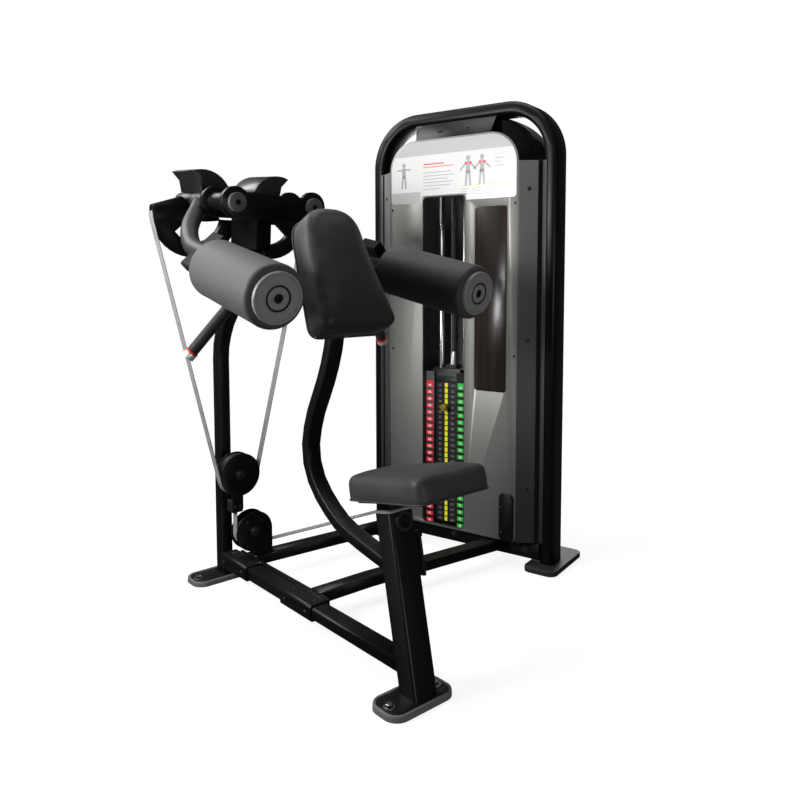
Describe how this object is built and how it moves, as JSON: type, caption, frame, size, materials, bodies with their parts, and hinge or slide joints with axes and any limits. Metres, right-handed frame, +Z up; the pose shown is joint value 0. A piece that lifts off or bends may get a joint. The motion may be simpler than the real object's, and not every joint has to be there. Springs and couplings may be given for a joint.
{
  "type": "lateral raise machine",
  "caption": "Selectorized lateral raise machine: seat and chest pad station with roller arms, hand grips, belt cams and counterweights, joined to a turned weight tower.",
  "frame": {"origin": "on the floor under the middle of the machine's bounding box", "axes": "+Z up, +Y from the seat towards the rear upright, +X from the user's station towards the weight tower"},
  "size_m": [1.4804, 1.2344, 1.651],
  "materials": {
    "black_paint": "satin black powder coat",
    "graphite_paint": "satin graphite coat",
    "grey_panel": "satin warm grey coat",
    "grey_shroud": "moulded grey, fine grain",
    "smoked_window": "dark brown tint, glossy",
    "upholstery": "black grained upholstery",
    "roller_foam": "soft matt skin",
    "cap_plastic": "moulded cap",
    "black_rubber": "matt",
    "belt": "grey flat belt",
    "chrome": "polished",
    "shaft_steel": "turned grey steel",
    "stack_iron": "black painted castings",
    "wheel_plastic": "black nylon",
    "strip_plastic": "black strip",
    "pin_yellow": "yellow knob"
  },
  "bodies": {
    "frame": {"base_tube": "black_paint", "side_rail": "black_paint", "rear_cross_tube": "black_paint", "front_cross_tube": "black_paint", "front_sleeve": "black_paint", "rear_sleeve": "black_paint", "front_foot_boot": "black_rubber", "rear_foot_boot": "black_rubber", "seat_upright": "black_paint", "rear_upright": "black_paint", "pad_support": "black_paint", "chest_pad": "upholstery", "base_pulley_guard": "black_paint", "head_bracket": "black_paint", "arm_belt": "belt", "weight_belt": "belt", "tower_hoop": "black_paint", "tower_beam": "black_paint", "front_panel": "grey_panel", "smoked_panel": "smoked_window", "corner_cover": "black_paint", "top_bracket": "black_paint", "rear_shroud": "grey_shroud", "tower_foot_left": "black_rubber", "tower_foot_right": "black_rubber", "side_cover_left": "grey_panel", "side_cover_right": "grey_panel", "label_strip_left": "strip_plastic", "label_strip_right": "strip_plastic", "guide_rod_left": "chrome", "guide_rod_right": "chrome", "resting_plates": "stack_iron", "stack_bumper": "black_rubber"},
    "seat": {"seat_post": "black_paint", "seat_pad": "upholstery"},
    "seat_lever": {"seat_lever": "black_rubber"},
    "left_arm": {"arm_left": "graphite_paint", "handle_left": "black_rubber", "pivot_shaft_left": "shaft_steel", "cam_left": "black_paint", "counterweight_left": "black_paint"},
    "right_arm": {"arm_right": "graphite_paint", "handle_right": "black_rubber", "pivot_shaft_right": "shaft_steel", "cam_right": "black_paint", "counterweight_right": "black_paint"},
    "left_roller": {"roller_left": "roller_foam", "roller_cap_left": "cap_plastic"},
    "right_roller": {"roller_right": "roller_foam", "roller_cap_right": "cap_plastic"},
    "floating_pulley": {"floating_yoke": "black_paint"},
    "floating_wheel": {"floating_wheel": "wheel_plastic"},
    "base_wheel": {"base_wheel": "wheel_plastic"},
    "low_wheel": {"low_pulley_wheel": "wheel_plastic"},
    "top_wheel_left": {"top_pulley_wheel_left": "wheel_plastic"},
    "top_wheel_right": {"top_pulley_wheel_right": "wheel_plastic"},
    "stack": {"lifted_plates": "stack_iron", "top_plate": "stack_iron", "selector_rod": "chrome"},
    "selector_pin": {"selector_pin": "pin_yellow"}
  },
  "joints": [
    {"name": "stack_lift", "type": "slide", "parent": "frame", "child": "stack", "axis": [0, 0, 1], "range_m": [0, 0.1833], "deforming": ["weight_belt"]},
    {"name": "pulley_lift", "type": "slide", "parent": "frame", "child": "floating_pulley", "axis": [0, 0, 1], "range_m": [0, 0.185], "deforming": ["arm_belt"]},
    {"name": "left_arm_raise", "type": "hinge", "parent": "frame", "child": "left_arm", "pos_m": [-0.47776, 0.14058, 1.252], "axis": [0, 0.9965, 0.0837], "range_deg": [0, 75.2]},
    {"name": "right_arm_raise", "type": "hinge", "parent": "frame", "child": "right_arm", "pos_m": [-0.21376, 0.14058, 1.252], "axis": [0, -0.9965, -0.0837], "range_deg": [0, 75.2]},
    {"name": "left_roller_spin", "type": "hinge", "parent": "left_arm", "child": "left_roller", "pos_m": [-0.66476, -0.36642, 0.993], "axis": [0.0689, 0.9772, 0.2008], "continuous": true},
    {"name": "right_roller_spin", "type": "hinge", "parent": "right_arm", "child": "right_roller", "pos_m": [-0.02676, -0.36642, 0.993], "axis": [-0.0689, 0.9772, 0.2008], "continuous": true},
    {"name": "floating_wheel_spin", "type": "hinge", "parent": "floating_pulley", "child": "floating_wheel", "pos_m": [-0.34576, 0.41771, 0.381], "axis": [0, 1, 0], "continuous": true},
    {"name": "base_wheel_spin", "type": "hinge", "parent": "frame", "child": "base_wheel", "pos_m": [-0.31276, 0.41771, 0.178], "axis": [0, 1, 0], "range_deg": [0, 232]},
    {"name": "low_wheel_spin", "type": "hinge", "parent": "frame", "child": "low_wheel", "pos_m": [0.40206, 0.39651, 0.178], "axis": [0.0296, 0.9996, 0], "range_deg": [0, 232]},
    {"name": "top_wheel_left_spin", "type": "hinge", "parent": "frame", "child": "top_wheel_left", "pos_m": [0.41504, 0.3379, 1.5], "axis": [0.9686, 0.2487, 0], "range_deg": [-225, 0]},
    {"name": "top_wheel_right_spin", "type": "hinge", "parent": "frame", "child": "top_wheel_right", "pos_m": [0.43859, 0.24618, 1.5], "axis": [0.9686, 0.2487, 0], "range_deg": [-225, 0]},
    {"name": "pin_pull", "type": "slide", "parent": "stack", "child": "selector_pin", "axis": [-0.9686, -0.2487, 0], "range_m": [0, 0.09]},
    {"name": "seat_height", "type": "slide", "parent": "frame", "child": "seat", "axis": [0, 0.2079, 0.9781], "range_m": [0, 0.12]},
    {"name": "seat_lever_pull", "type": "hinge", "parent": "frame", "child": "seat_lever", "pos_m": [-0.28576, -0.40322, 0.38343], "axis": [0, -0.9781, 0.2079], "range_deg": [0, 15], "stiffness_Nm_per_rad": 0.6, "springref_deg": -8.59}
  ],
  "couplings": [
    {"joint": "pulley_lift", "follows": "stack_lift", "ratio": 1},
    {"joint": "left_arm_raise", "follows": "stack_lift", "rad_per_m": 7.1429},
    {"joint": "right_arm_raise", "follows": "stack_lift", "rad_per_m": 7.1429},
    {"joint": "base_wheel_spin", "follows": "stack_lift", "rad_per_m": 21.834},
    {"joint": "low_wheel_spin", "follows": "stack_lift", "rad_per_m": 21.834},
    {"joint": "top_wheel_left_spin", "follows": "stack_lift", "rad_per_m": -21.142},
    {"joint": "top_wheel_right_spin", "follows": "stack_lift", "rad_per_m": -21.142}
  ]
}
